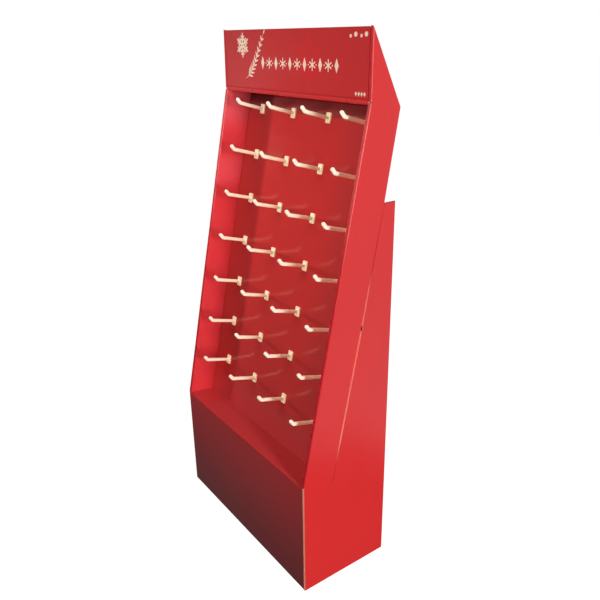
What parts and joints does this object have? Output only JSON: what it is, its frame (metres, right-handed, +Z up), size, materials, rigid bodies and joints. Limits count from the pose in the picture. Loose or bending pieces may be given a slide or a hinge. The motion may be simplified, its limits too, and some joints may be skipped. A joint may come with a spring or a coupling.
{
  "type": "cardboard display stand",
  "caption": "Floor-standing corrugated display stand: box base, tray leaning back under a header with a sloping roof, and moulded peg hooks on the tray's back panel.",
  "frame": {"origin": "on the floor, in the middle of the footprint", "axes": "+Z up, -Y is the front with the header and tray, +X to the right as seen from the front"},
  "size_m": [0.56, 0.255, 1.271],
  "materials": {
    "printed_board_side": "gloss-coated red print on corrugated board, raw fluted cut edges",
    "printed_board_panel": "gloss-coated red print on corrugated board",
    "printed_board_header": "gloss-coated red print with a tone-on-tone snow crystal ornament",
    "plain_board_back": "gloss-coated red print on corrugated board, raw fluted cut edges",
    "hook_plastic": "moulded ivory plastic, satin"
  },
  "bodies": {
    "root": {"side_panel_left": "printed_board_side", "side_panel_right": "printed_board_side", "front_ledge_and_peg_panel": "printed_board_panel", "header_panel": "printed_board_header", "back_panel": "plain_board_back", "peg_hook_r1_c1": "hook_plastic", "peg_hook_r1_c2": "hook_plastic", "peg_hook_r1_c3": "hook_plastic", "peg_hook_r1_c4": "hook_plastic", "peg_hook_r2_c1": "hook_plastic", "peg_hook_r2_c2": "hook_plastic", "peg_hook_r2_c3": "hook_plastic", "peg_hook_r2_c4": "hook_plastic", "peg_hook_r3_c1": "hook_plastic", "peg_hook_r3_c2": "hook_plastic", "peg_hook_r3_c3": "hook_plastic", "peg_hook_r3_c4": "hook_plastic", "peg_hook_r4_c1": "hook_plastic", "peg_hook_r4_c2": "hook_plastic", "peg_hook_r4_c3": "hook_plastic", "peg_hook_r4_c4": "hook_plastic", "peg_hook_r5_c1": "hook_plastic", "peg_hook_r5_c2": "hook_plastic", "peg_hook_r5_c3": "hook_plastic", "peg_hook_r5_c4": "hook_plastic", "peg_hook_r6_c1": "hook_plastic", "peg_hook_r6_c2": "hook_plastic", "peg_hook_r6_c3": "hook_plastic", "peg_hook_r6_c4": "hook_plastic", "peg_hook_r7_c1": "hook_plastic", "peg_hook_r7_c2": "hook_plastic", "peg_hook_r7_c3": "hook_plastic", "peg_hook_r7_c4": "hook_plastic"}
  },
  "joints": []
}
